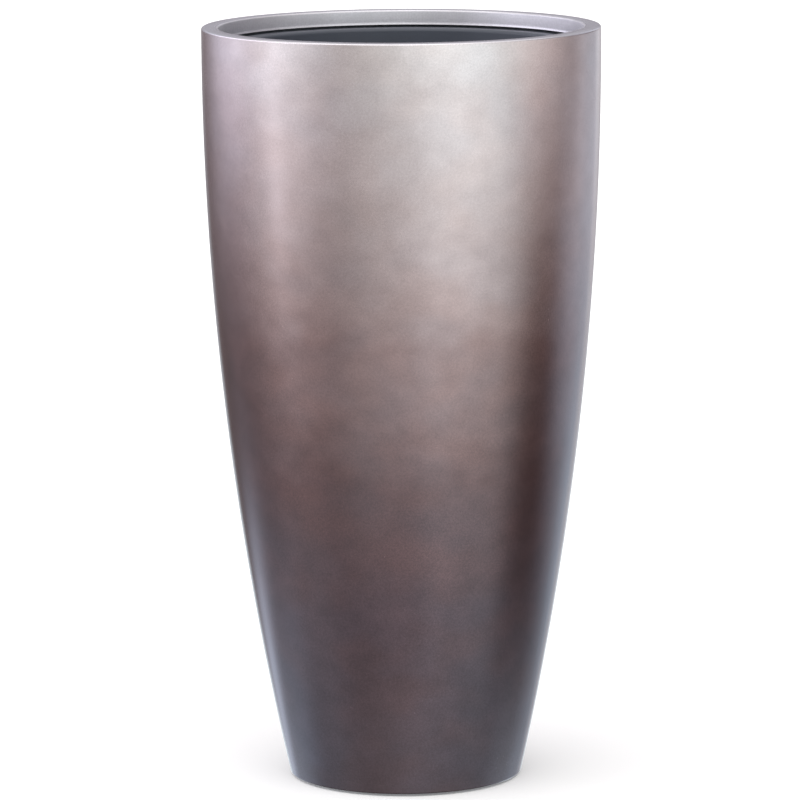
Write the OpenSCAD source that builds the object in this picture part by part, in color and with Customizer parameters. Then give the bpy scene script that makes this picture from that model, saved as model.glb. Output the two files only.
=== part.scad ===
// Tall round planter: a lacquered shell with a lift-out liner.
// Origin: floor level, on the centre line. +Z up, -Y towards the viewer.

/* [Shell] */
// Height from the floor to the top of the rim
body_h = 900; // [820:10:1000]
// Largest outside diameter, a little below the rim
body_d = 472; // [440:2:520]
// Radius of the one long curve that the wall follows from base to rim
wall_curve_r = 4000; // [3700:50:5000]
// Distance from the rim down to where the wall stands upright
widest_drop = 20; // [10:2:60]
// Thickness of the shell's wall, rim and inner band, measured level
wall_t = 5; // [4:0.5:6]
// Width of the rim, from the outer wall to the inner band
rim_w = 20; // [17:1:24]
// Height of the inner band that hangs from the rim
band_h = 18; // [12:1:26]
// Rounding of the rim's outer edge
rim_outer_round = 2; // [1:0.5:4]
// Rounding of the rim's inner edge
rim_inner_round = 2; // [1:0.5:3]
// Rounding of the shell's bottom edge
base_round = 1.5; // [1:0.5:3]

/* [Base] */
// Width of the lip that turns in at the bottom of the shell
base_lip_w = 20; // [16:1:26]
// Thickness of that lip
base_lip_t = 5; // [4:0.5:7]
// Thickness of the base disc that lies on the lip
base_disc_t = 10; // [8:1:16]
// Distance that the feet stand out below the shell
foot_proud = 3; // [2:0.5:6]
// Diameter of a rubber foot
foot_d = 30; // [24:1:36]
// Gap between a foot and the edge of the base lip
foot_inset = 11; // [6:1:20]
// Depth of the screw's seat, from the floor up
foot_recess = 4; // [3:0.5:4.5]
// Diameter of the foot screw's shank
screw_d = 4; // [3:0.5:5]
// Length of the foot screw inside the base disc
screw_bite = 6; // [5:0.5:7]

/* [Ledge] */
// Height of the ledge ring's upright leg
ledge_leg_h = 34; // [24:1:50]
// Thickness of the ledge ring
ledge_t = 3; // [2.5:0.5:4]
// Gap from the liner's wall to the edge of the ledge
ledge_gap = 6; // [3:0.5:8]

/* [Liner] */
// Depth of the liner, from its flange to its underside
liner_depth = 340; // [280:10:420]
// Thickness of the liner
liner_t = 3; // [2.5:0.5:4]
// Width of the liner's flange
flange_w = 17.5; // [15:0.5:22]
// Distance that the flange lies below the inner band
flange_sink = 2.5; // [1.5:0.5:6]
// Gap round the flange, so that the liner lifts out
lift_gap = 2.5; // [1.5:0.5:4]
// Slope of the liner's wall, in degrees
liner_draft = 3.5; // [2:0.5:5]
// Inside radius of the bend from the liner's wall to its floor
liner_floor_round = 12; // [8:1:20]
// Inside radius of the bend under the flange
flange_bend = 1; // [0.5:0.5:3]

/* [Lifting handles] */
// Diameter of the handle wire
wire_d = 5; // [4:0.5:6]
// Width of a handle, on its wire's centre line
handle_w = 96; // [90:2:104]
// Height of a handle, from its pivot to the grip
handle_h = 56; // [46:2:64]
// Bend radius at the grip's corners
grip_bend = 20; // [12:1:24]
// Bend radius at the pivot's corners
pivot_bend = 8; // [6:0.5:9]
// Distance of the pivot below the liner's flange
handle_drop = 40; // [36:1:60]
// Width of a handle's bracket
bracket_w = 76; // [60:2:78]
// Height of the bracket's plate above the pivot
bracket_h = 24; // [20:1:28]
// Thickness of the bracket's plate
bracket_t = 2.4; // [2:0.2:3]
// Wall thickness of the bracket's barrel
barrel_t = 2.2; // [1.6:0.2:2.6]
// Width of the flat pad that the liner has behind a bracket
pad_w = 84; // [80:1:90]
// Depth of the pad, measured in from the liner's wall
pad_depth = 11; // [10:0.5:16]
// Diameter of a rivet's shank
rivet_d = 4.8; // [4:0.2:5]
// Distance between the two rivets of a bracket
rivet_gap = 52; // [40:1:56]

/* [Drain plugs] */
// Diameter of a plug at the top of its hole
plug_d = 30; // [24:1:34]
// Length of a plug below its head
plug_len = 14; // [12:0.5:15]
// Slope of the plug's side, in degrees
plug_slope = 5; // [2:0.5:6]
// Width of the plug's head beyond the hole
plug_head_w = 6; // [4:0.5:8]
// Thickness of the plug's head
plug_head_t = 3; // [2:0.5:4]
// Width of the plug's finger tab
tab_w = 18; // [14:1:20]
// Thickness of the finger tab
tab_t = 4; // [3:0.5:6]
// Height of the finger tab above the head
tab_h = 11; // [9:0.5:12]

/* [Hidden] */
$fn = 96;

// Clearances
rest_gap = 0.3;      // under a loose piece at rest
glue_gap = 0.3;      // filled by adhesive
pivot_play = 0.1;    // round the handle's wire in its barrel
shank_play = 0.1;    // round a rivet or a screw
cut_over = 1;        // how far a cutter runs past the face that it cuts

// Steps along the outline's curves
wall_steps = 28;
round_steps = 6;

// Shell
shell_z = foot_proud;
widest_z = body_h - widest_drop;
rim_r = wall_r(body_h - rim_outer_round);
rim_inner_r = rim_r - rim_w;
base_r = wall_r(shell_z);
base_open_r = base_r - base_lip_w;

// Base
disc_z = shell_z + base_lip_t;
disc_top = disc_z + base_disc_t;
foot_count = 4;
foot_ring_r = base_open_r - foot_inset - foot_d / 2;
foot_angle = 45;
foot_bevel = 1;
screw_head_d = 2 * screw_d;
screw_head_t = 0.65 * screw_d;
screw_socket_d = 0.8 * screw_d;
screw_seat_play = 0.5;

// Liner and its ledge
liner_top = body_h - band_h - flange_sink;
liner_z = liner_top - liner_depth;
liner_floor = liner_z + liner_t;
flange_r = rim_inner_r - lift_gap;
mouth_r = flange_r - flange_w;
mouth_round = liner_t + flange_bend;
liner_level_t = liner_t / cos(liner_draft);
edge_bevel = 0.5;
ledge_top = liner_top - liner_t - rest_gap;
ledge_leg_z = ledge_top - ledge_leg_h;
ledge_r = shell_in_r(ledge_leg_z) - glue_gap;
ledge_in_r = mouth_r + liner_level_t + ledge_gap;

// Drain plugs
plug_bevel = 1;

// Handles
wire_r = wire_d / 2;
barrel_in_r = wire_r + pivot_play;
barrel_r = barrel_in_r + barrel_t;
pivot_z = liner_top - handle_drop;
pad_x = liner_in_r(pivot_z) - pad_depth;
pivot_x = pad_x - barrel_r - rest_gap;
pad_below = 12;
pad_above = bracket_h + 2;
pad_reach = pad_depth + 2 * liner_t;
pad_flare = 7;
rivet_z = pivot_z + barrel_r + (bracket_h - barrel_r) / 2;
rivet_head_r = 0.95 * rivet_d;
rivet_head_t = 0.35 * rivet_d;
rivet_dome_r = 1.4 * rivet_head_r;

// Radius of the shell's outer wall, on one circular arc
function wall_r(z) =
    body_d / 2 - wall_curve_r + sqrt(pow(wall_curve_r, 2) - pow(z - widest_z, 2));

// Angle of the outer wall off the upright
function wall_lean(z) = asin((widest_z - z) / wall_curve_r);

function shell_in_r(z) = wall_r(z) - wall_t;

// Inside radius of the liner's sloping wall
function liner_in_r(z) = mouth_r - (liner_top - z) * tan(liner_draft);

// Points on an arc, from angle a0 to angle a1
function arc(centre, r, a0, a1) =
    [for (i = [0:round_steps])
        let (a = a0 + (a1 - a0) * i / round_steps)
        centre + r * [cos(a), sin(a)]];

// Points up the outer wall or, with an inset, up its inner side
function wall_points(z0, z1, inset) =
    [for (i = [0:wall_steps])
        let (z = z0 + (z1 - z0) * i / wall_steps)
        [wall_r(z) - inset, z]];

// The list in the opposite order
function flipped(list) = [for (i = [len(list) - 1:-1:0]) list[i]];

module revolve(points) {
    rotate_extrude() polygon(points);
}

// The same thing at each side: left is the mirror image of right
module on_side(side) {
    if (side > 0) children();
    else mirror([1, 0, 0]) children();
}

module at_foot(i) {
    rotate([0, 0, foot_angle + 360 / foot_count * i]) translate([foot_ring_r, 0, 0]) children();
}

module at_feet() {
    for (i = [0:foot_count - 1]) at_foot(i) children();
}

// One moulding: wall, rounded rim, inner band and turned-in base lip
module outer_shell() {
    lean = wall_lean(shell_z);
    corner_end = shell_z + base_round * (1 - sin(lean));
    corner = [wall_r(corner_end) - base_round * cos(lean), shell_z + base_round];
    rim_outer = [rim_r - rim_outer_round, body_h - rim_outer_round];
    rim_inner = [rim_inner_r + rim_inner_round, body_h - rim_inner_round];
    band_z = body_h - band_h;
    under_rim = body_h - wall_t;
    color([0.66, 0.62, 0.63]) revolve(concat(
        [[base_open_r, shell_z]],
        arc(corner, base_round, -90, -lean),
        wall_points(corner_end + 1, body_h - rim_outer_round - 1, 0),
        arc(rim_outer, rim_outer_round, 0, 90),
        arc(rim_inner, rim_inner_round, 90, 180),
        [[rim_inner_r, band_z], [rim_inner_r + wall_t, band_z]],
        [[rim_inner_r + wall_t, under_rim]],
        flipped(wall_points(disc_z, under_rim, wall_t)),
        [[base_open_r, disc_z]]));
}

// Angle-section ring bonded inside the wall, just under the inner band
module liner_ledge_ring() {
    color([0.26, 0.26, 0.28]) revolve([
        [ledge_r - ledge_t, ledge_leg_z],
        [ledge_r, ledge_leg_z],
        [ledge_r, ledge_top],
        [ledge_in_r, ledge_top],
        [ledge_in_r, ledge_top - ledge_t],
        [ledge_r - ledge_t, ledge_top - ledge_t]]);
}

// Disc bonded on the base lip, with a drain hole and four screw holes
module base_disc() {
    color([0.2, 0.2, 0.21]) difference() {
        revolve([
            [0, disc_z],
            [shell_in_r(disc_z) - glue_gap, disc_z],
            [shell_in_r(disc_top) - glue_gap, disc_top],
            [0, disc_top]]);
        drain_hole(disc_top, base_disc_t);
        at_feet() translate([0, 0, disc_z - cut_over])
            cylinder(h = screw_bite + shank_play + cut_over, d = screw_d + 2 * shank_play);
    }
}

// Rubber foot with a stepped hole, so that the screw's head stays off the floor
module foot(i) {
    half = foot_d / 2;
    hole = screw_d / 2 + shank_play;
    seat = screw_head_d / 2 + screw_seat_play;
    color([0.1, 0.1, 0.1]) at_foot(i) revolve([
        [seat, 0],
        [half - 2 * foot_bevel, 0],
        [half - foot_bevel, foot_bevel],
        [half, disc_z],
        [hole, disc_z],
        [hole, foot_recess],
        [seat, foot_recess]]);
}

// One screw up through each foot into the base disc
module foot_screws() {
    head_z = foot_recess - screw_head_t;
    socket = screw_head_t / 2;
    color([0.72, 0.72, 0.74]) at_feet() difference() {
        union() {
            translate([0, 0, head_z]) cylinder(h = screw_head_t, d = screw_head_d);
            translate([0, 0, head_z + socket])
                cylinder(h = disc_z + screw_bite - head_z - socket, d = screw_d);
        }
        translate([0, 0, head_z - cut_over])
            cylinder(h = socket + cut_over, d = screw_socket_d, $fn = 6);
    }
}

// Tapered hole for a drain plug, from the floor's top face down
module drain_hole(top, depth) {
    r = plug_d / 2 + rest_gap;
    over = depth + cut_over;
    translate([0, 0, top - over])
        cylinder(h = over + cut_over, r1 = r - over * tan(plug_slope),
            r2 = r + cut_over * tan(plug_slope));
}

// Push-in rubber plug with a round head and a finger tab
module drain_plug(top) {
    head_z = top + rest_gap;
    head_r = plug_d / 2 + plug_head_w;
    tip_r = plug_d / 2 - plug_len * tan(plug_slope);
    color([0.12, 0.12, 0.12]) translate([0, 0, head_z]) {
        revolve([
            [0, -plug_len],
            [tip_r - plug_bevel, -plug_len],
            [tip_r, plug_bevel - plug_len],
            [plug_d / 2, 0],
            [head_r, 0],
            [head_r, plug_head_t - plug_bevel],
            [head_r - plug_bevel, plug_head_t],
            [0, plug_head_t]]);
        translate([0, tab_t / 2, plug_head_t + tab_h - tab_w / 2])
            rotate([90, 0, 0]) cylinder(h = tab_t, d = tab_w);
    }
}

// Solid of the liner's outside, or with its inside taken out
module liner_form(hollow) {
    d = liner_draft;
    mouth_t = liner_top - mouth_round * (1 - sin(d));
    mouth = [liner_in_r(mouth_t) + mouth_round * cos(d), liner_top - mouth_round];
    bend_t = liner_floor + liner_floor_round * (1 - sin(d));
    bend = [liner_in_r(bend_t) - liner_floor_round * cos(d), liner_floor + liner_floor_round];
    outside = concat(
        [[0, liner_z]],
        arc(bend, liner_floor_round + liner_t, -90, -d),
        arc(mouth, flange_bend, 180 - d, 90),
        [[flange_r, liner_top - liner_t], [flange_r, liner_top - edge_bevel]],
        [[flange_r - edge_bevel, liner_top]]);
    inside = concat(
        arc(mouth, mouth_round, 90, 180 - d),
        arc(bend, liner_floor_round, -d, -90),
        [[0, liner_floor]]);
    if (hollow) revolve(concat(outside, inside));
    else revolve(concat(outside, [[0, liner_top]]));
}

// Wedge-ended block that forms a bracket's pad, grown or shrunk by a wall
module pad_block(skin) {
    x = pad_x + skin;
    low = pivot_z - pad_below + skin;
    high = pivot_z + pad_above - skin;
    width = pad_w - 2 * skin;
    translate([0, width / 2, 0]) rotate([90, 0, 0]) linear_extrude(width) polygon([
        [x, low],
        [x + pad_reach, low - pad_flare],
        [x + pad_reach, high + pad_flare],
        [x, high]]);
}

module at_rivets() {
    for (y = [-rivet_gap / 2, rivet_gap / 2])
        translate([pad_x, y, rivet_z]) rotate([0, 90, 0]) children();
}

// Lift-out tub: flange, sloping wall, floor and a flat pad for each bracket
module liner_tub() {
    color([0.2, 0.2, 0.22]) difference() {
        union() {
            liner_form(true);
            for (side = [1, -1]) on_side(side) intersection() {
                liner_form(false);
                pad_block(0);
            }
        }
        drain_hole(liner_floor, liner_t);
        for (side = [1, -1]) on_side(side) {
            pad_block(liner_t);
            at_rivets() translate([0, 0, -cut_over])
                cylinder(h = liner_t + 2 * cut_over, d = rivet_d + 2 * shank_play);
        }
    }
}

// Plate rolled into a barrel round the handle's wire
module handle_bracket(side) {
    color([0.75, 0.75, 0.77]) on_side(side) difference() {
        union() {
            translate([pad_x - bracket_t, -bracket_w / 2, pivot_z])
                cube([bracket_t, bracket_w, bracket_h]);
            translate([pivot_x, bracket_w / 2, pivot_z])
                rotate([90, 0, 0]) cylinder(h = bracket_w, r = barrel_r);
        }
        translate([pivot_x, bracket_w / 2 + cut_over, pivot_z])
            rotate([90, 0, 0]) cylinder(h = bracket_w + 2 * cut_over, r = barrel_in_r);
        at_rivets() translate([0, 0, -bracket_t - cut_over])
            cylinder(h = bracket_t + 2 * cut_over, d = rivet_d + 2 * shank_play);
    }
}

// Domed heads inside the liner and flat tails in its outer dents
module bracket_rivets(side) {
    head_x = -bracket_t - rivet_head_t;
    color([0.8, 0.8, 0.82]) on_side(side) at_rivets() {
        translate([0, 0, -bracket_t]) cylinder(h = bracket_t + liner_t, d = rivet_d);
        intersection() {
            translate([0, 0, head_x]) cylinder(h = rivet_head_t, r = rivet_head_r);
            translate([0, 0, head_x + rivet_dome_r]) sphere(r = rivet_dome_r);
        }
        translate([0, 0, liner_t]) cylinder(h = rivet_head_t, r = rivet_head_r);
    }
}

// Quarter bend of the handle's wire, from the first axis to the second
module wire_bend(r) {
    rotate_extrude(angle = 90) translate([r, 0]) circle(d = wire_d);
}

module wire_run(from, length, turn) {
    translate(from) rotate(turn) cylinder(h = length, d = wire_d);
}

// Closed wire loop: pivot bar, two arms and a grip with wide bends
module lifting_handle(side) {
    half = handle_w / 2;
    arm = handle_h - grip_bend - pivot_bend;
    color([0.75, 0.75, 0.77]) on_side(side)
        translate([pivot_x, 0, pivot_z]) rotate([90, 0, 90]) {
            wire_run([pivot_bend - half, 0, 0], handle_w - 2 * pivot_bend, [0, 90, 0]);
            wire_run([grip_bend - half, -handle_h, 0], handle_w - 2 * grip_bend, [0, 90, 0]);
            for (turn = [0, 1]) mirror([turn, 0, 0]) {
                wire_run([half, -pivot_bend, 0], arm, [90, 0, 0]);
                translate([half - pivot_bend, -pivot_bend, 0]) wire_bend(pivot_bend);
                translate([half - grip_bend, grip_bend - handle_h, 0])
                    rotate([0, 0, -90]) wire_bend(grip_bend);
            }
        }
}

outer_shell();
liner_ledge_ring();
base_disc();
for (i = [0:foot_count - 1])
    foot(i);
foot_screws();
drain_plug(disc_top);  // base_drain_plug
liner_tub();
handle_bracket(-1);  // handle_bracket_left
handle_bracket(1);  // handle_bracket_right
bracket_rivets(-1);  // bracket_rivets_left
bracket_rivets(1);  // bracket_rivets_right
lifting_handle(-1);  // lifting_handle_left
lifting_handle(1);  // lifting_handle_right
drain_plug(liner_floor);  // liner_drain_plug
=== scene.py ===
import math

import bpy
from mathutils import Matrix, Vector


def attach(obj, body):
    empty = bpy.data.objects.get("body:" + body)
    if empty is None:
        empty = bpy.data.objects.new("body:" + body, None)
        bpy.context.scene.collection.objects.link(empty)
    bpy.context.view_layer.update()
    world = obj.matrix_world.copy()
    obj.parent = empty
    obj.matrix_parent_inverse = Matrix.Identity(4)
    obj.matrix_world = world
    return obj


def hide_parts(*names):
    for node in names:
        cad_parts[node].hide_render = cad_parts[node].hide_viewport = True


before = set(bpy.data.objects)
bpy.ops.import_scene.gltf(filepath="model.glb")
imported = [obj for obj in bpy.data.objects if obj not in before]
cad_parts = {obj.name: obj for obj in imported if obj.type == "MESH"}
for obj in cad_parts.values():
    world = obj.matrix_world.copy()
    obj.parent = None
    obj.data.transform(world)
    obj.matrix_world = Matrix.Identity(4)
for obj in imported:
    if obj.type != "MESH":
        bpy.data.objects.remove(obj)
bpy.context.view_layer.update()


class Field:  # a number that changes over a surface or across the sky
    def __init__(self, bench, socket):
        self.bench, self.socket = bench, socket

    def combine(self, operation, *others):
        node = self.bench.add("ShaderNodeMath", {"operation": operation},
                              {i: v for i, v in enumerate((self, *others))})
        return Field(self.bench, node.outputs[0])

    def fromNumber(self, operation, number):  # the number stands on the left
        node = self.bench.add("ShaderNodeMath", {"operation": operation}, {0: number, 1: self})
        return Field(self.bench, node.outputs[0])

    def __add__(self, other):
        return self.combine("ADD", other)

    def __radd__(self, other):
        return self.fromNumber("ADD", other)

    def __sub__(self, other):
        return self.combine("SUBTRACT", other)

    def __rsub__(self, other):
        return self.fromNumber("SUBTRACT", other)

    def __mul__(self, other):
        return self.combine("MULTIPLY", other)

    def __rmul__(self, other):
        return self.fromNumber("MULTIPLY", other)

    def __truediv__(self, other):
        return self.combine("DIVIDE", other)

    def __pow__(self, other):
        return self.combine("POWER", other)

    def __rpow__(self, other):
        return self.fromNumber("POWER", other)

    def between(self, low, high):  # 0 below low, 1 above high, soft in between
        node = self.bench.add("ShaderNodeMapRange", {"interpolation_type": "SMOOTHSTEP"},
                              {"Value": self, "From Min": low, "From Max": high})
        return Field(self.bench, node.outputs[0])


class Bench:  # one node tree and the ways to fill it
    def __init__(self, tree):
        self.tree = tree
        self.tree.nodes.clear()

    def add(self, kind, settings=None, values=None):
        node = self.tree.nodes.new(kind)
        for name, value in (settings or {}).items():
            if name == "stops":
                for i, (place, colour) in enumerate(value):
                    stops = node.color_ramp.elements
                    stop = stops[i] if i < 2 else stops.new(place)
                    stop.position, stop.color = place, (*colour, 1)
            elif name == "interpolation":
                node.color_ramp.interpolation = value
            else:
                setattr(node, name, value)
        for name, value in (values or {}).items():
            if isinstance(value, Field):
                value = value.socket
            if isinstance(value, bpy.types.NodeSocket):
                self.tree.links.new(value, node.inputs[name])
            else:
                node.inputs[name].default_value = value
        return node

    def field(self, kind, values):
        return Field(self, self.add(kind, values=values).outputs[0])

    def place(self):  # where a point of the piece lies, in metres
        return self.add("ShaderNodeTexCoord").outputs["Object"]

    def axes(self, vector):
        node = self.add("ShaderNodeSeparateXYZ", values={"Vector": vector})
        return [Field(self, out) for out in node.outputs]

    def vector(self, operation, first, second):
        node = self.add("ShaderNodeVectorMath", {"operation": operation}, {0: first, 1: second})
        return node.outputs[0]

    def scaled(self, vector, factor):
        node = self.add("ShaderNodeVectorMath", {"operation": "SCALE"}, {0: vector, "Scale": factor})
        return node.outputs[0]

    def noise(self, place, size, detail, roughness=0.5, **more):  # size of one blotch in metres
        values = {"Vector": place, "Scale": 1 / size, "Detail": detail, "Roughness": roughness}
        return self.field("ShaderNodeTexNoise", {**values, **more})

    def cells(self, place, size):  # distance from the middle of the nearest cell
        return self.field("ShaderNodeTexVoronoi", {"Vector": place, "Scale": 1 / size})

    def blend(self, amount, first, second, kind="MIX"):  # between two colours
        node = self.add("ShaderNodeMix", {"data_type": "RGBA", "blend_type": kind},
                        {0: amount, 6: rgba(first), 7: rgba(second)})
        return node.outputs[2]

    def bump(self, height, depth, strength, normal=None):
        values = {"Height": height, "Distance": depth, "Strength": strength}
        if normal:
            values["Normal"] = normal
        return self.add("ShaderNodeBump", values=values).outputs["Normal"]


def rgba(colour):
    return (*colour, 1) if isinstance(colour, tuple) and len(colour) == 3 else colour


def newFinish(name):
    material = bpy.data.materials.new(name)
    material.use_nodes = True
    return material, Bench(material.node_tree)


def closeFinish(bench, values):
    surface = bench.add("ShaderNodeBsdfPrincipled", values=values)
    bench.add("ShaderNodeOutputMaterial", values={"Surface": surface.outputs[0]})


def dropSelection():
    if bpy.context.object and bpy.context.object.mode != "OBJECT":
        bpy.ops.object.mode_set(mode="OBJECT")
    bpy.ops.object.select_all(action="DESELECT")


camera = {
    "place": (0.0, -6.290, 1.4601),  # metres
    "turn": -0.0379, "tilt": -9.0997, "roll": 0.386,  # degrees: to the right, upwards, clockwise
    "lens": 240.17, "sensor": 36.0,  # millimetres
    "reach": 200,
}


def makeCamera():
    turn, tilt, roll = (math.radians(camera[k]) for k in ("turn", "tilt", "roll"))
    ahead = Vector((math.sin(turn) * math.cos(tilt), math.cos(turn) * math.cos(tilt), math.sin(tilt)))
    right = Vector((math.cos(turn), -math.sin(turn), 0))
    up = right.cross(ahead)
    rolledRight = math.cos(roll) * right - math.sin(roll) * up
    rolledUp = math.sin(roll) * right + math.cos(roll) * up
    bpy.ops.object.camera_add(location=camera["place"])
    made = bpy.context.object
    made.name = "studioCamera"
    axes = Matrix((rolledRight, rolledUp, -ahead)).transposed().to_4x4()
    made.matrix_world = Matrix.Translation(camera["place"]) @ axes
    made.data.lens, made.data.sensor_width = camera["lens"], camera["sensor"]
    made.data.clip_end = camera["reach"]
    bpy.context.scene.camera = made
    print("camera stands", round(Vector(camera["place"]).length, 2), "m away")


studio = {
    # degrees above or below the horizon where the light of the ceiling and the floor begins and is full
    "overhead": 1.00, "overheadFrom": 24.0, "overheadFull": 50.0,
    "below": 0.26, "belowFrom": 46.0, "belowFull": 74.0,  # what the pale floor gives back to the wall
    "fill": (0.157, 0.12, 0.12),  # the same from every side
    "background": (0.95, 0.95, 0.955),  # what the camera sees behind the planter
    "floorColour": (0.93, 0.94, 0.935), "floorGlow": 0.14,  # a faint glow keeps the shadow light
    "floorHalf": 40.0,
    # turn: degrees right of the camera's side, height: degrees above the horizon,
    # half width, half height, how hard the left and right edges are, colour
    "lights": {
        "key": (44, -18, 27, 8, 3.6, (0.91, 1.13, 1.19)),
        "keyHigh": (88, -1, 16, 6, 3.6, (0.70, 0.67, 0.67)),
        "leftHigh": (-115, -3.5, 18, 4, 2.1, (0.87, 0.92, 1.11)),
        "leftStreak": (-79, -9.5, 4, 2.0, 2.0, (0.90, 0.92, 1.00)),
        "leftLow": (-72, -5, 20, 19, 1.8, (0.92, 1.00, 1.06)),
        "frontLow": (-8, -21, 29, 4, 2.5, (0.98, 1.20, 1.30)),
        "frontHigh": (21, 0, 42, 14, 3.1, (0.88, 1.00, 1.00)),
        "floorRight": (134, -31, 30, 4, 1.6, (1.03, 1.19, 1.28)),
        "floorBackLeft": (-161, -26, 65, 4, 7.5, (0.52, 0.63, 0.76)),
        "floorFront": (6, -37, 44, 5, 1.6, (0.80, 0.69, 0.67)),
        "back": (-178.5, -14, 15.5, 5, 8.0, (0.67, 0.79, 0.86)),
        "leftMid": (-143, -17.9, 15, 1.7, 1.7, (0.72, 0.83, 1.03)),
        "rightBack": (160, -2, 7, 12, 6.5, (0.44, 0.45, 0.48)),
        "rightRear": (132, -13, 21, 3.8, 4.2, (0.48, 0.63, 0.78)),
        "rightRearHigh": (142, -6.5, 16, 2.4, 4.2, (0.36, 0.41, 0.46)),
        "rightWarm": (120, -7.5, 9, 1.8, 3.0, (0.28, 0.23, 0.20)),
        "behindHigh": (180, 18, 70, 9, 3.0, (0.47, 0.51, 0.59)),  # for the flat top of the rim
        "frontOverhead": (-14, 52, 62, 20, 3.0, (1.08, 1.08, 1.08)),  # draws the white line along the rim
        "mouthLeft": (-98, 14, 35, 5, 4.0, (2.70, 2.63, 3.04)),  # these two reach into the mouth
        "mouthFront": (36, 20, 36, 7, 4.0, (0.70, 0.71, 0.73)),
    },
}


def makeSky():  # soft lights far away, and a plain pale background for the camera
    world = bpy.data.worlds.new("studioLight")
    world.use_nodes = True
    bpy.context.scene.world = world
    bench = Bench(world.node_tree)
    x, y, z = bench.axes(bench.add("ShaderNodeTexCoord").outputs["Generated"])
    tiny = 1e-6  # keeps the division safe straight up and down
    level = (x * x + y * y + tiny) ** 0.5
    height = z.combine("ARCSINE") * (180 / math.pi)
    total = (0.0, 0.0, 0.0)
    for turn, up, halfWidth, halfHeight, hardness, colour in studio["lights"].values():
        a = math.radians(turn)
        angle = ((x * math.sin(a) - y * math.cos(a)) / level).combine("ARCCOSINE")
        aside = angle / math.radians(halfWidth)
        offset = (height - up) / halfHeight
        glow = math.e ** ((aside ** hardness + offset * offset) * -0.5)
        total = bench.vector("ADD", total, bench.scaled(colour, glow))
    above = height.between(studio["overheadFrom"], studio["overheadFull"]) * studio["overhead"]
    below = (0 - height).between(studio["belowFrom"], studio["belowFull"]) * studio["below"]
    total = bench.vector("ADD", total, bench.scaled((1.0, 1.0, 1.0), above + below))
    total = bench.vector("ADD", total, studio["fill"])
    lightSide = bench.add("ShaderNodeBackground", values={"Color": total})
    seenSide = bench.add("ShaderNodeBackground", values={"Color": rgba(studio["background"])})
    seen = bench.add("ShaderNodeLightPath").outputs["Is Camera Ray"]
    mixed = bench.add("ShaderNodeMixShader",
                      values={0: seen, 1: lightSide.outputs[0], 2: seenSide.outputs[0]})
    bench.add("ShaderNodeOutputWorld", values={"Surface": mixed.outputs[0]})


def makeFloor():
    dropSelection()
    bpy.ops.mesh.primitive_plane_add(size=2 * studio["floorHalf"])
    floor = bpy.context.object
    floor.name = "paleFloor"
    material, bench = newFinish("paleFloorPaint")
    paint = bench.add("ShaderNodeBsdfDiffuse", values={"Color": rgba(studio["floorColour"])})
    glow = bench.add("ShaderNodeEmission", values={"Strength": studio["floorGlow"]})
    surface = bench.add("ShaderNodeAddShader", values={0: paint.outputs[0], 1: glow.outputs[0]})
    clear = bench.add("ShaderNodeBsdfTransparent")
    # seen from below, the floor is clear, so that the underside of the planter shows
    behind = bench.add("ShaderNodeNewGeometry").outputs["Backfacing"]
    mixed = bench.add("ShaderNodeMixShader", values={0: behind, 1: surface.outputs[0], 2: clear.outputs[0]})
    bench.add("ShaderNodeOutputMaterial", values={"Surface": mixed.outputs[0]})
    floor.data.materials.append(material)
    floor.visible_glossy = False


makeCamera()
makeSky()
makeFloor()
bpy.context.scene.view_settings.view_transform = "Standard"
print("studio is set")


def arcPoints(centre, radius, start, end, steps):
    angles = [math.radians(start + (end - start) * i / steps) for i in range(steps + 1)]
    return [(centre[0] + radius * math.cos(a), centre[1] + radius * math.sin(a)) for a in angles]


def sortFaces():  # spin leaves the faces in another order each run, and this gives them a fixed one
    spots = ((1.0, 0.37, 0.21), (0.29, 1.1, 0.63))  # faces equally far from one aren't from the other
    for spot in spots:
        bpy.context.scene.cursor.location = spot
        bpy.ops.mesh.sort_elements(type="CURSOR_DISTANCE", elements={"FACE"})
    bpy.context.scene.cursor.location = (0, 0, 0)


def turnOnLathe(name, outline, steps):  # a closed outline of (radius, height) spun round the centre line
    sameSpot, startSize = 1e-6, 0.01  # the starting plane shrinks to one point
    dropSelection()
    bpy.ops.mesh.primitive_plane_add(size=startSize)
    piece = bpy.context.object
    piece.name = piece.data.name = name
    bpy.ops.object.mode_set(mode="EDIT")
    bpy.ops.mesh.select_all(action="SELECT")
    bpy.ops.mesh.merge(type="CENTER")
    bpy.ops.transform.translate(value=(outline[0][0], 0, outline[0][1]))
    for here, there in zip(outline, outline[1:] + outline[:1]):
        step = (there[0] - here[0], 0, there[1] - here[1])
        bpy.ops.mesh.extrude_vertices_move(TRANSFORM_OT_translate={"value": step})
    bpy.ops.mesh.select_all(action="SELECT")
    bpy.ops.mesh.remove_doubles(threshold=sameSpot)
    bpy.ops.mesh.spin(steps=steps, angle=2 * math.pi, center=(0, 0, 0), axis=(0, 0, 1))
    bpy.ops.mesh.select_all(action="SELECT")
    bpy.ops.mesh.remove_doubles(threshold=sameSpot)
    bpy.ops.mesh.normals_make_consistent(inside=False)
    sortFaces()
    bpy.ops.object.mode_set(mode="OBJECT")
    return piece


def smoothShade(piece, angle):
    dropSelection()
    piece.select_set(True)
    bpy.context.view_layer.objects.active = piece
    bpy.ops.object.shade_smooth_by_angle(angle=math.radians(angle))


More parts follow.
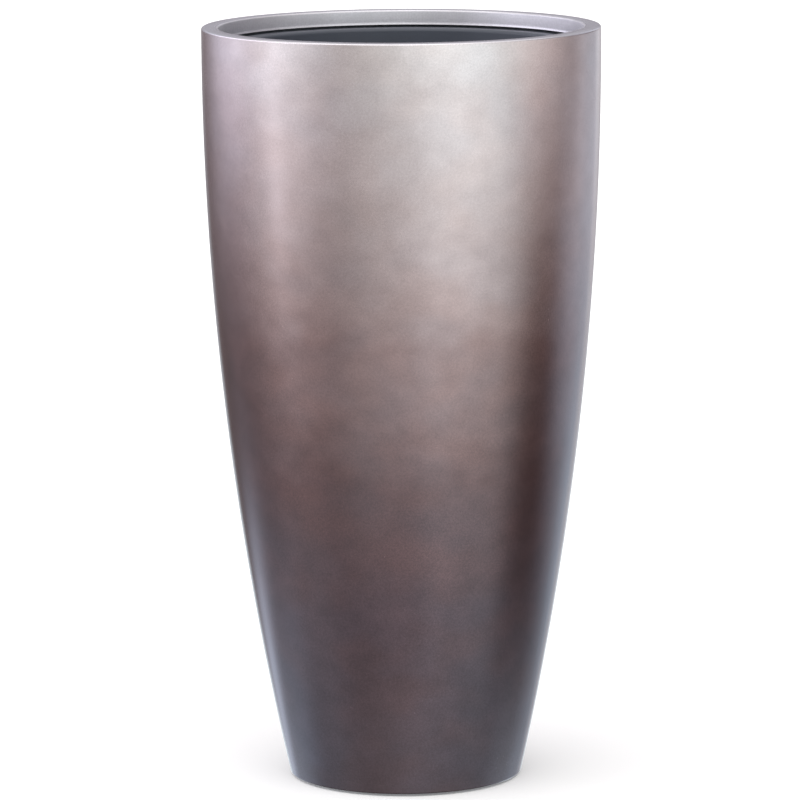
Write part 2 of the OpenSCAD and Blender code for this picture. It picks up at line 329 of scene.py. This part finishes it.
shell = {
    "height": 0.900, "acrossWidest": 0.472, "wallCurve": 4.0, "widestBelowRim": 0.020,
    "wall": 0.005, "rimWidth": 0.020, "bandHeight": 0.018,
    "rimOuterRound": 0.002, "rimInnerRound": 0.002,
    "coveDepth": 0.0006, "coveHeight": 0.0035, "nose": 0.0004,  # the band's foot turns in a little
    "baseRound": 0.0015, "baseLip": 0.020, "baseLipThick": 0.005, "baseLipBevel": 0.0008,
    "footProud": 0.003,
    "pastRound": 0.0006,  # the side's first and last points stand this far from the rounded edges
    "steps": 256, "wallSteps": 44, "rimSteps": 8, "cornerSteps": 5, "coveSteps": 6, "noseSteps": 3,
    "smoothAngle": 35,
}


def wallRadius(z):
    curve = shell["wallCurve"]
    widest = shell["height"] - shell["widestBelowRim"]
    return shell["acrossWidest"] / 2 - curve + math.sqrt(curve ** 2 - (z - widest) ** 2)


def mouthRadius():
    return wallRadius(shell["height"] - shell["rimOuterRound"]) - shell["rimWidth"]


def makeShell():
    top, thick, foot = shell["height"], shell["wall"], shell["footProud"]
    lean = math.asin((top - shell["widestBelowRim"] - foot) / shell["wallCurve"])
    roundOut, roundIn, roundBase = shell["rimOuterRound"], shell["rimInnerRound"], shell["baseRound"]
    rimRadius, mouth = wallRadius(top - roundOut), mouthRadius()
    cornerEnd = foot + roundBase * (1 - math.sin(lean))
    corner = (wallRadius(cornerEnd) - roundBase * math.cos(lean), foot + roundBase)
    lipInner, lipTop = wallRadius(foot) - shell["baseLip"], foot + shell["baseLipThick"]
    bevel, cornerSteps = shell["baseLipBevel"], shell["cornerSteps"]

    def wallLine(low, high, inset):
        heights = [low + (high - low) * i / shell["wallSteps"] for i in range(shell["wallSteps"] + 1)]
        return [(wallRadius(z) - inset, z) for z in heights]

    outline = [(lipInner, foot)]
    outline += arcPoints(corner, roundBase, -90, -math.degrees(lean), cornerSteps)
    outline += wallLine(cornerEnd + shell["pastRound"], top - roundOut - shell["pastRound"], 0)
    outline += arcPoints((rimRadius - roundOut, top - roundOut), roundOut, 0, 90, shell["rimSteps"])
    outline += arcPoints((mouth + roundIn, top - roundIn), roundIn, 90, 180, cornerSteps)
    bandEnd = top - shell["bandHeight"]
    cove, coveHeight, nose = shell["coveDepth"], shell["coveHeight"], shell["nose"]
    coveRadius = (cove ** 2 + coveHeight ** 2) / (2 * cove)
    coveTurn = math.degrees(math.asin(coveHeight / coveRadius))
    coveCentre = (mouth - coveRadius, bandEnd + nose + coveHeight)
    outline += arcPoints(coveCentre, coveRadius, 0, -coveTurn, shell["coveSteps"])
    outline += arcPoints((mouth - cove + nose, bandEnd + nose), nose, 180, 270, shell["noseSteps"])
    outline += [(mouth + thick, bandEnd), (mouth + thick, top - thick)]
    outline += wallLine(lipTop, top - thick, thick)[::-1]
    outline += [(lipInner + bevel, lipTop), (lipInner, lipTop - bevel)]
    piece = turnOnLathe("shellBody", outline, shell["steps"])
    smoothShade(piece, shell["smoothAngle"])
    piece.data.materials.append(metallicLacquer())
    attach(piece, "shell")
    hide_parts("outer_shell")
    print("shell has", len(piece.data.polygons), "faces")


lacquer = {
    # height in metres and colour of the metallic coat, from bronze-brown up to silver
    "gradient": [(0.05, (0.089, 0.074, 0.091)), (0.22, (0.104, 0.069, 0.079)),
                 (0.38, (0.136, 0.075, 0.073)), (0.54, (0.255, 0.164, 0.155)),
                 (0.70, (0.462, 0.358, 0.344)), (0.82, (0.576, 0.480, 0.472)),
                 (0.90, (0.690, 0.607, 0.596))],
    "rimSilverAndPaintedLight": (0.690, 0.680, 0.712),  # the flat top and the band: their silver spray, painted lighter and cooler than the wall as painted highlight for how these faces catch the light
    "rawColour": (0.155, 0.165, 0.190),  # the bare moulding inside
    "roughness": 0.25, "bandRoughness": 0.50,  # the band inside the mouth is sprayed drier
    "cloudSheen": 0.06, "grainSheen": 0.05, "rawSheen": 0.4,  # what these add to the roughness
    "coatTop": 0.40, "coatBottom": 1.0, "coatRoughness": 0.13,
    "unevenBelow": 0.15, "evenAbove": 0.75,  # the dark lower part is sprayed less evenly
    "sweep": (1.0, 1.0, 1.25),  # the gun is swept round the pot, so the clouds lie a little flat
    # shift moves the gradient up and down, in metres, and tone makes it lighter and darker
    "cloudSize": 0.085, "cloudShift": 0.060, "cloudTone": 0.16,
    "blotchSize": 0.030, "blotchShift": 0.030, "blotchTone": 0.22,
    "toneHigh": 0.75, "toneMoreLow": 1.35,  # how much of the tone shows high up, and what low down adds
    "grainSize": 0.0021, "grainTone": 0.30, "grainMoreLow": 1.9,
    "grainDepth": 0.00005, "grainStrength": 0.35,
    "peelSize": 0.012, "peelDepth": 0.00010, "peelStrength": 0.30,
    "warmCast": (1.035, 0.985, 0.965), "coolCast": (0.965, 1.008, 1.04),
    "castSize": 0.070, "castEdges": (0.3, 0.7), "castHigh": 0.35,
    "speckGap": 0.035, "speckSize": 0.0008, "speckCore": 0.4, "speckTone": 0.4,  # dark specks of dust
    # where one finish fades into the next, as two distances in metres
    "pastMouth": (0.00064, 0.00224), "belowBand": (-0.010, -0.002), "belowRim": (-0.0025, -0.0004),
    "aboveHollow": (0.0005, 0.0015), "intoWall": (0.0022, 0.0030),
}


def metallicLacquer():
    material, bench = newFinish("metallicLacquer")
    place = bench.place()
    x, y, z = bench.axes(place)
    radius = (x * x + y * y) ** 0.5
    top, curve = shell["height"], shell["wallCurve"]

    swept = bench.vector("MULTIPLY", place, lacquer["sweep"])
    clouds = bench.noise(swept, lacquer["cloudSize"], 2.0) - 0.5
    blotches = bench.noise(swept, lacquer["blotchSize"], 1.5) - 0.5
    casts = bench.noise(swept, lacquer["castSize"], 1.0).between(*lacquer["castEdges"]) - 0.5
    grain = bench.noise(place, lacquer["grainSize"], 2.0)
    low = 1 - z.between(lacquer["unevenBelow"], lacquer["evenAbove"])

    # only the band in the mouth is sprayed inside, and the rest is bare dark moulding
    nearMouth = 1 - (radius - mouthRadius()).between(*lacquer["pastMouth"])
    inMouth = nearMouth * (z - (top - shell["bandHeight"])).between(*lacquer["belowBand"])
    rimTop = (z - top).between(*lacquer["belowRim"])
    fromWidest = z - (top - shell["widestBelowRim"])
    outer = (curve ** 2 - fromWidest * fromWidest) ** 0.5 + (shell["acrossWidest"] / 2 - curve)
    inside = (outer - radius).between(*lacquer["intoWall"])
    solidRim = (z - (top - shell["wall"])).between(*lacquer["aboveHollow"])
    bare = inside * (1 - inMouth) * (1 - solidRim)

    sprayed = z + clouds * lacquer["cloudShift"] + blotches * lacquer["blotchShift"]
    stops = [(h / top, stopColour) for h, stopColour in lacquer["gradient"]]
    colour = bench.add("ShaderNodeValToRGB", {"stops": stops, "interpolation": "LINEAR"},
                       {0: sprayed / top}).outputs[0]
    cast = bench.blend(casts * (lacquer["castHigh"] + low) + 0.5, lacquer["warmCast"], lacquer["coolCast"])
    colour = bench.blend(1.0, colour, cast, "MULTIPLY")
    # painted light: the flat top and the band take a lighter, cooler colour than the wall, partly their
    # silver spray and partly a painted highlight
    colour = bench.blend((inMouth + rimTop).combine("MINIMUM", 1.0), colour, lacquer["rimSilverAndPaintedLight"])
    speckEdge = lacquer["speckSize"] / lacquer["speckGap"]
    speck = 1 - bench.cells(place, lacquer["speckGap"]).between(lacquer["speckCore"] * speckEdge, speckEdge)
    mottle = blotches * lacquer["blotchTone"] + clouds * lacquer["cloudTone"]
    tone = 1.0 + mottle * (lacquer["toneHigh"] + low * lacquer["toneMoreLow"])
    tone = tone + (grain - 0.5) * (1 + low * lacquer["grainMoreLow"]) * lacquer["grainTone"]
    tone = tone - speck * lacquer["speckTone"]
    colour = bench.blend(bare, bench.scaled(colour, tone), lacquer["rawColour"])

    drier = (lacquer["bandRoughness"] - lacquer["roughness"]) * inMouth
    roughness = lacquer["roughness"] + drier + clouds * lacquer["cloudSheen"]
    roughness = roughness + (grain - 0.5) * lacquer["grainSheen"] + bare * lacquer["rawSheen"]
    coat = lacquer["coatTop"] + low * (lacquer["coatBottom"] - lacquer["coatTop"])
    peel = bench.noise(place, lacquer["peelSize"], 1.0)
    relief = bench.bump(peel, lacquer["peelDepth"], lacquer["peelStrength"])
    relief = bench.bump(grain, lacquer["grainDepth"], lacquer["grainStrength"], relief)
    closeFinish(bench, {
        "Base Color": colour, "Metallic": 1 - bare, "Roughness": roughness,
        "Coat Weight": coat * (1 - bare), "Coat Roughness": lacquer["coatRoughness"],
        "Normal": relief,
    })
    return material


makeShell()


liner = {
    "dark": (0.044, 0.051, 0.068), "light": (0.062, 0.071, 0.093), "dust": (0.135, 0.132, 0.125),
    "roughness": 0.45, "blotchSize": 0.05, "blotchSheen": 0.12,
    "pebbleSize": 0.0018, "pebbleDepth": 0.00010, "pebbleStrength": 0.45,
    "poreSize": 0.0007, "poreDepth": 0.00005, "poreStrength": 0.4,
    # lifting the tub in and out leaves short upright scuffs
    "scuffSize": 0.018, "scuffStretch": (14.0, 14.0, 1.0), "scuffEdges": (0.60, 0.78),
    "scuffTone": 0.22, "scuffSheen": 0.10,
    # the floor keeps some dust, which thins out up to the second of these heights above it
    "floorHeight": 0.5425, "dustHeights": (0.004, 0.030),
    "dustSize": 0.016, "dustEdges": (0.46, 0.80), "dustTone": 0.45, "dustSheen": 0.25,
}


def linerPlastic():
    material, bench = newFinish("linerPlastic")
    place = bench.place()
    z = bench.axes(place)[2]
    blotches = bench.noise(place, liner["blotchSize"], 3.0)
    pebbles = bench.noise(place, liner["pebbleSize"], 1.0)
    pores = bench.noise(place, liner["poreSize"], 1.0)
    upright = bench.vector("MULTIPLY", place, liner["scuffStretch"])
    scuffs = bench.noise(upright, liner["scuffSize"], 3.0, 0.7).between(*liner["scuffEdges"])
    settled = 1 - (z - liner["floorHeight"]).between(*liner["dustHeights"])
    dust = bench.noise(place, liner["dustSize"], 4.0, 0.65).between(*liner["dustEdges"]) * settled
    worn = scuffs * liner["scuffTone"] + dust * liner["dustTone"]
    roughness = liner["roughness"] + (blotches - 0.5) * liner["blotchSheen"]
    roughness = roughness + scuffs * liner["scuffSheen"] + dust * liner["dustSheen"]
    relief = bench.bump(pebbles, liner["pebbleDepth"], liner["pebbleStrength"])
    relief = bench.bump(pores, liner["poreDepth"], liner["poreStrength"], relief)
    closeFinish(bench, {
        "Base Color": bench.blend(worn, bench.blend(blotches, liner["dark"], liner["light"]), liner["dust"]),
        "Roughness": roughness, "Normal": relief,
    })
    return material


moulding = {
    "dark": (0.028, 0.029, 0.032), "light": (0.100, 0.101, 0.108),
    "strandSize": 0.004, "strandTwist": 1.2, "strandDepth": 0.0003, "strandStrength": 0.6,
    "roughness": 0.55, "strandSheen": 0.3,
}


def rawMoulding():  # glass strands show through the resin
    material, bench = newFinish("rawMoulding")
    strands = bench.noise(bench.place(), moulding["strandSize"], 4.0, 0.7, Distortion=moulding["strandTwist"])
    closeFinish(bench, {
        "Base Color": bench.blend(strands, moulding["dark"], moulding["light"]),
        "Roughness": moulding["roughness"] + strands * moulding["strandSheen"],
        "Normal": bench.bump(strands, moulding["strandDepth"], moulding["strandStrength"]),
    })
    return material


rubber = {
    "footDark": (0.012, 0.012, 0.012), "plugDark": (0.02, 0.02, 0.02), "dusty": (0.05, 0.05, 0.05),
    "dustSize": 0.008, "dustEdges": (0.45, 0.75), "roughness": 0.62, "dustSheen": 0.2,
    "poreSize": 0.0007, "poreDepth": 0.00005, "poreStrength": 0.5,
}


def softRubber(name, dark):
    material, bench = newFinish(name)
    place = bench.place()
    dust = bench.noise(place, rubber["dustSize"], 3.0)
    pores = bench.noise(place, rubber["poreSize"], 1.0)
    closeFinish(bench, {
        "Base Color": bench.blend(dust.between(*rubber["dustEdges"]), dark, rubber["dusty"]),
        "Roughness": rubber["roughness"] + dust * rubber["dustSheen"],
        "Normal": bench.bump(pores, rubber["poreDepth"], rubber["poreStrength"]),
    })
    return material


zinc = {
    "dark": (0.60, 0.61, 0.64), "light": (0.76, 0.76, 0.77), "roughness": 0.34,
    "spangleSize": 0.0035, "spangleSheen": 0.10, "spangleDepth": 0.00004, "spangleStrength": 0.35,
    "hazeSize": 0.02, "hazeSheen": 0.14,
    "drawnSize": 0.0006, "drawnDepth": 0.00002, "drawnStrength": 0.4,
    # dull spots that damp leaves on zinc
    "stain": (0.55, 0.55, 0.54), "stainSize": 0.009, "stainEdges": (0.60, 0.82),
    "stainTone": 0.5, "stainDulls": 0.35, "stainSheen": 0.18,
}


def zincSteel():
    material, bench = newFinish("zincSteel")
    place = bench.place()
    spangle = bench.cells(place, zinc["spangleSize"])
    haze = bench.noise(place, zinc["hazeSize"], 3.0)
    drawn = bench.noise(place, zinc["drawnSize"], 2.0)
    stain = bench.noise(place, zinc["stainSize"], 4.0, 0.7).between(*zinc["stainEdges"])
    colour = bench.blend(haze, zinc["dark"], zinc["light"])
    roughness = zinc["roughness"] + haze * zinc["hazeSheen"] + spangle * zinc["spangleSheen"]
    relief = bench.bump(spangle, zinc["spangleDepth"], zinc["spangleStrength"])
    closeFinish(bench, {
        "Base Color": bench.blend(stain * zinc["stainTone"], colour, zinc["stain"]),
        "Metallic": 1 - stain * zinc["stainDulls"],
        "Roughness": roughness + stain * zinc["stainSheen"],
        "Normal": bench.bump(drawn, zinc["drawnDepth"], zinc["drawnStrength"], relief),
    })
    return material


def dress(material, nodeNames):  # puts a finish on pieces that keep their own mesh
    for nodeName in nodeNames:
        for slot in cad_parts[nodeName].material_slots:
            slot.material = material


dress(linerPlastic(), ["liner_tub"])
dress(rawMoulding(), ["liner_ledge_ring", "base_disc"])
dress(zincSteel(), ["handle_bracket_left", "handle_bracket_right", "bracket_rivets_left",
                    "bracket_rivets_right", "lifting_handle_left", "lifting_handle_right", "foot_screws"])
dress(softRubber("footRubber", rubber["footDark"]), ["foot_1", "foot_2", "foot_3", "foot_4"])
dress(softRubber("plugRubber", rubber["plugDark"]), ["base_drain_plug", "liner_drain_plug"])
print("finishes are on")
